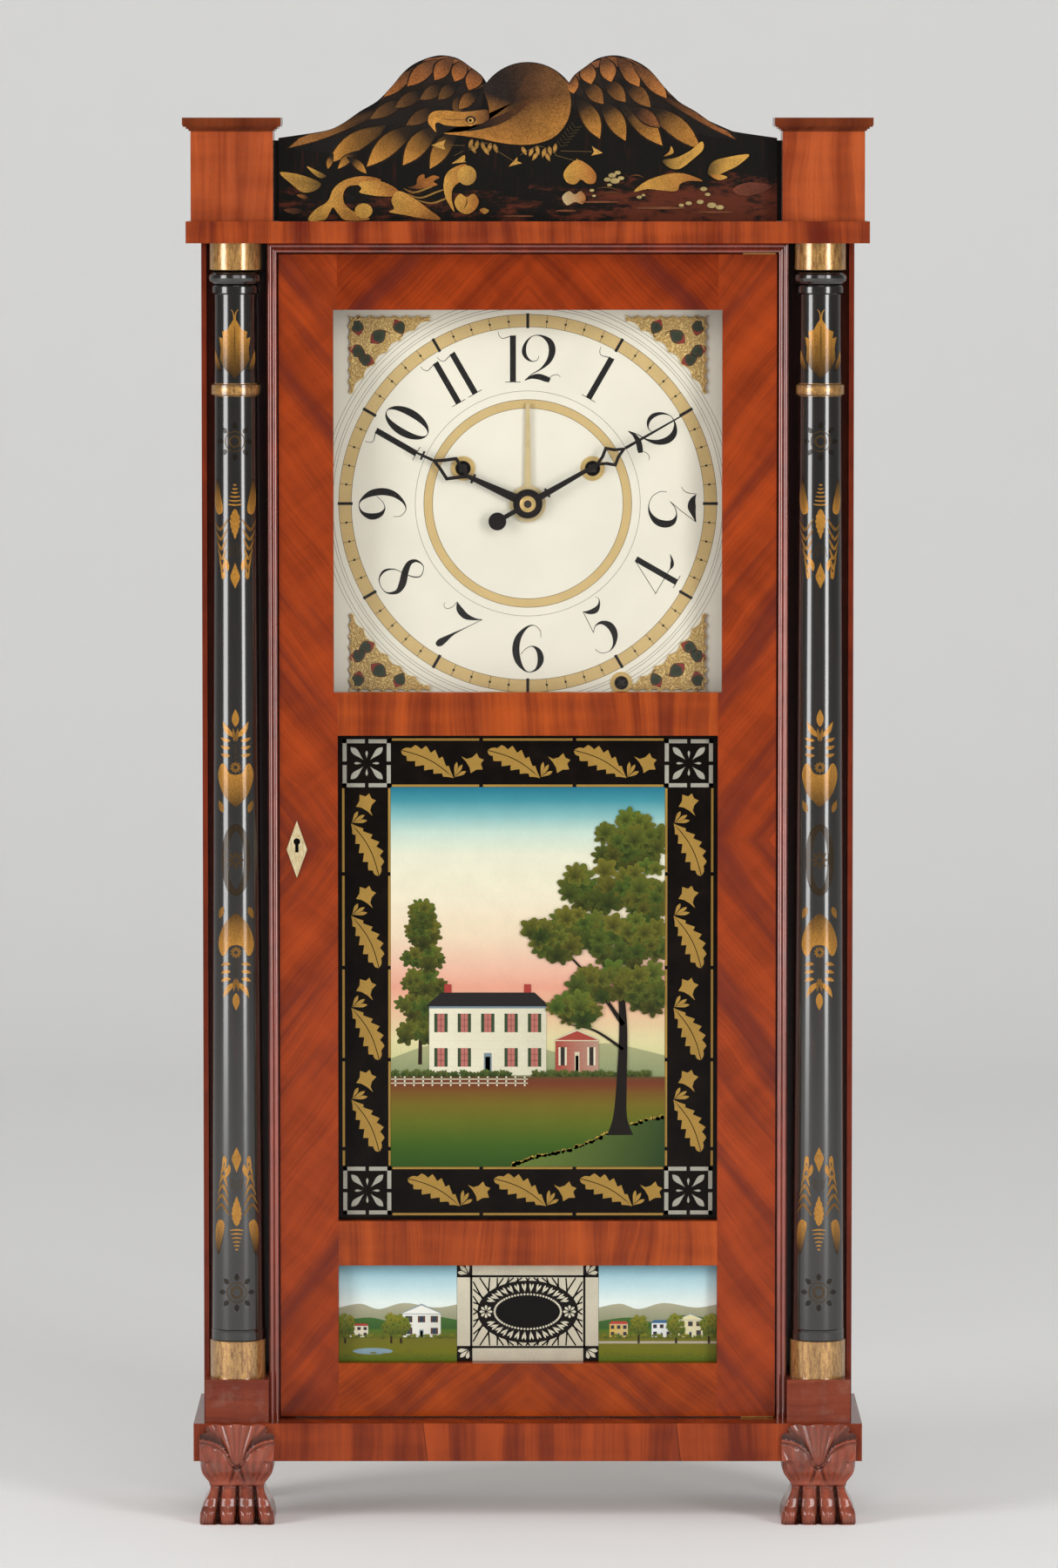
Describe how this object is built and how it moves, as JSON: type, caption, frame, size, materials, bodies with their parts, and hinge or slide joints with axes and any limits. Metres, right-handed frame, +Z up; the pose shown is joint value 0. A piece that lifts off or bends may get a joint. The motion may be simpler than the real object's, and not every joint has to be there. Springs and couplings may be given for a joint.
{
  "type": "shelf clock",
  "caption": "Mahogany shelf clock with black columns, stencilled splat, paw feet and a full-length door over a painted dial and picture tablets; weight-driven, with strike and alarm.",
  "frame": {"origin": "on the floor, under the middle of the clock's overall box", "axes": "+Z up, -Y out of the front of the clock, +X to the right seen from the front"},
  "size_m": [0.4434, 0.14, 0.9492],
  "materials": {
    "mahogany": "french polished mahogany veneer",
    "dark_mahogany": "french polished mahogany",
    "pine": "bare pine, darkened with age",
    "black_paint": "black painted wood with bronze stencilling, satin",
    "dial_paint": "painted wood, satin cream",
    "gilt": "gilded gesso, worn",
    "brass": "aged brass",
    "cherry": "turned and cut cherry wood",
    "cast_iron": "dark cast iron",
    "iron_wire": "dark iron wire and forgings",
    "cord": "laid linen cord",
    "blued_steel": "blued steel",
    "bone": "polished bone",
    "clear_glass": "clear old glass",
    "painted_glass": "reverse-painted glass, opaque"
  },
  "bodies": {
    "case": {"case_sides": "mahogany", "case_top": "pine", "case_bottom": "pine", "backboard": "pine", "front_stiles": "black_paint", "door_moulding": "dark_mahogany", "cornice": "mahogany", "base_rail": "mahogany", "plinth_blocks": "mahogany", "splat": "black_paint", "column_left": "black_paint", "column_right": "black_paint", "column_blocks": "mahogany", "paw_feet": "mahogany", "rear_feet": "dark_mahogany", "dial_board": "dial_paint", "dial_spandrels": "gilt", "dial_eyelets": "brass", "front_plate": "cherry", "back_plate": "cherry", "bell": "cast_iron", "cord_leads": "cord"},
    "door": {"door_stile_left": "mahogany", "door_stile_right": "mahogany", "door_rail_top": "mahogany", "door_rails_middle": "mahogany", "door_rail_bottom": "mahogany", "dial_glass": "clear_glass", "picture_tablet": "painted_glass", "lower_tablet": "painted_glass", "escutcheon": "bone", "lock_case": "brass", "door_hinges": "brass"},
    "lock_bolt": {"lock_bolt": "brass"},
    "minute_arbor": {"centre_wheel": "cherry", "minute_hand": "blued_steel", "hand_nut": "brass"},
    "hour_pipe": {"hour_wheel": "brass", "hour_hand": "blued_steel"},
    "alarm_setting": {"alarm_hand": "brass"},
    "minute_wheel": {"minute_wheel": "cherry"},
    "great_wheel": {"great_wheel": "cherry"},
    "third_wheel": {"third_wheel": "cherry"},
    "escape_wheel": {"escape_wheel": "brass"},
    "verge": {"verge": "iron_wire"},
    "pendulum": {"pendulum_rod": "iron_wire", "pendulum_bob": "brass"},
    "time_weight": {"time_weight": "cast_iron", "time_cord": "cord"},
    "time_drum": {"time_drum": "cherry"},
    "time_pulley": {"time_pulley": "cherry"},
    "strike_weight": {"strike_weight": "cast_iron", "strike_cord": "cord"},
    "strike_drum": {"strike_drum": "cherry"},
    "strike_pulley": {"strike_pulley": "cherry"},
    "strike_wheel": {"strike_wheel": "cherry"},
    "pin_wheel": {"pin_wheel": "cherry"},
    "hammer": {"hammer": "iron_wire"},
    "alarm_drum": {"alarm_drum": "cherry"},
    "alarm_hammer": {"alarm_hammer": "iron_wire"}
  },
  "joints": [
    {"name": "door_hinge", "type": "hinge", "parent": "case", "child": "door", "pos_m": [0.1555, -0.038, 0.44425], "axis": [0, 0, 1], "range_deg": [0, 105]},
    {"name": "bolt_slide", "type": "slide", "parent": "door", "child": "lock_bolt", "axis": [-1, 0, 0], "range_m": [0, 0.005]},
    {"name": "minute_turn", "type": "hinge", "parent": "case", "child": "minute_arbor", "pos_m": [0, 0, 0.6597], "axis": [0, 1, 0], "continuous": true},
    {"name": "hour_turn", "type": "hinge", "parent": "case", "child": "hour_pipe", "pos_m": [0, 0, 0.6597], "axis": [0, 1, 0], "continuous": true},
    {"name": "alarm_set", "type": "hinge", "parent": "hour_pipe", "child": "alarm_setting", "pos_m": [0, 0, 0.6597], "axis": [0, 1, 0], "continuous": true},
    {"name": "minute_wheel_turn", "type": "hinge", "parent": "case", "child": "minute_wheel", "pos_m": [0.01697, 0, 0.64273], "axis": [0, 1, 0], "continuous": true},
    {"name": "great_wheel_turn", "type": "hinge", "parent": "case", "child": "great_wheel", "pos_m": [0.042, 0, 0.6825], "axis": [0, 1, 0], "continuous": true},
    {"name": "third_wheel_turn", "type": "hinge", "parent": "case", "child": "third_wheel", "pos_m": [-0.003, 0, 0.69307], "axis": [0, 1, 0], "continuous": true},
    {"name": "escape_wheel_turn", "type": "hinge", "parent": "case", "child": "escape_wheel", "pos_m": [-0.02, 0, 0.71941], "axis": [0, 1, 0], "continuous": true},
    {"name": "pendulum_swing", "type": "hinge", "parent": "case", "child": "pendulum", "pos_m": [-0.02, 0, 0.75941], "axis": [0, 1, 0], "range_deg": [-3, 3]},
    {"name": "verge_rock", "type": "hinge", "parent": "case", "child": "verge", "pos_m": [-0.02, 0, 0.75041], "axis": [0, 1, 0], "range_deg": [-4.5, 4.5]},
    {"name": "time_weight_drop", "type": "slide", "parent": "case", "child": "time_weight", "axis": [0, 0, 1], "range_m": [0, 0.4], "deforming": ["time_cord"]},
    {"name": "time_drum_turn", "type": "hinge", "parent": "case", "child": "time_drum", "pos_m": [0.042, 0, 0.6825], "axis": [0, 1, 0], "range_deg": [-1900, 0]},
    {"name": "time_pulley_turn", "type": "hinge", "parent": "case", "child": "time_pulley", "pos_m": [0.1476, 0, 0.7983], "axis": [0, 1, 0], "range_deg": [-1900, 0]},
    {"name": "strike_weight_drop", "type": "slide", "parent": "case", "child": "strike_weight", "axis": [0, 0, 1], "range_m": [0, 0.4], "deforming": ["strike_cord"]},
    {"name": "strike_drum_turn", "type": "hinge", "parent": "case", "child": "strike_drum", "pos_m": [-0.042, 0, 0.6825], "axis": [0, 1, 0], "range_deg": [0, 1900]},
    {"name": "strike_pulley_turn", "type": "hinge", "parent": "case", "child": "strike_pulley", "pos_m": [-0.1476, 0, 0.7983], "axis": [0, 1, 0], "range_deg": [0, 1900]},
    {"name": "strike_wheel_turn", "type": "hinge", "parent": "case", "child": "strike_wheel", "pos_m": [-0.042, 0, 0.6825], "axis": [0, 1, 0], "continuous": true},
    {"name": "pin_wheel_turn", "type": "hinge", "parent": "case", "child": "pin_wheel", "pos_m": [-0.042, 0, 0.6422], "axis": [0, 1, 0], "continuous": true},
    {"name": "hammer_lift", "type": "hinge", "parent": "case", "child": "hammer", "pos_m": [-0.025, 0, 0.5797], "axis": [0, 1, 0], "range_deg": [0, 15]},
    {"name": "alarm_drum_turn", "type": "hinge", "parent": "case", "child": "alarm_drum", "pos_m": [0.0608, 0, 0.5432], "axis": [0, 1, 0], "continuous": true},
    {"name": "alarm_hammer_lift", "type": "hinge", "parent": "case", "child": "alarm_hammer", "pos_m": [0.052, 0, 0.5627], "axis": [0, 1, 0], "range_deg": [-8, 0]}
  ],
  "couplings": [
    {"joint": "hour_turn", "follows": "minute_turn", "ratio": 0.083333},
    {"joint": "minute_wheel_turn", "follows": "minute_turn", "ratio": -0.33333},
    {"joint": "great_wheel_turn", "follows": "minute_turn", "ratio": -0.16667},
    {"joint": "third_wheel_turn", "follows": "minute_turn", "ratio": -8.5714},
    {"joint": "escape_wheel_turn", "follows": "minute_turn", "ratio": 85.714},
    {"joint": "verge_rock", "follows": "pendulum_swing", "ratio": 1.4091},
    {"joint": "time_drum_turn", "follows": "time_weight_drop", "rad_per_m": -80.645},
    {"joint": "time_pulley_turn", "follows": "time_weight_drop", "rad_per_m": -80.645},
    {"joint": "strike_drum_turn", "follows": "strike_weight_drop", "rad_per_m": 80.645},
    {"joint": "strike_pulley_turn", "follows": "strike_weight_drop", "rad_per_m": 80.645},
    {"joint": "pin_wheel_turn", "follows": "strike_wheel_turn", "ratio": -6.75}
  ]
}
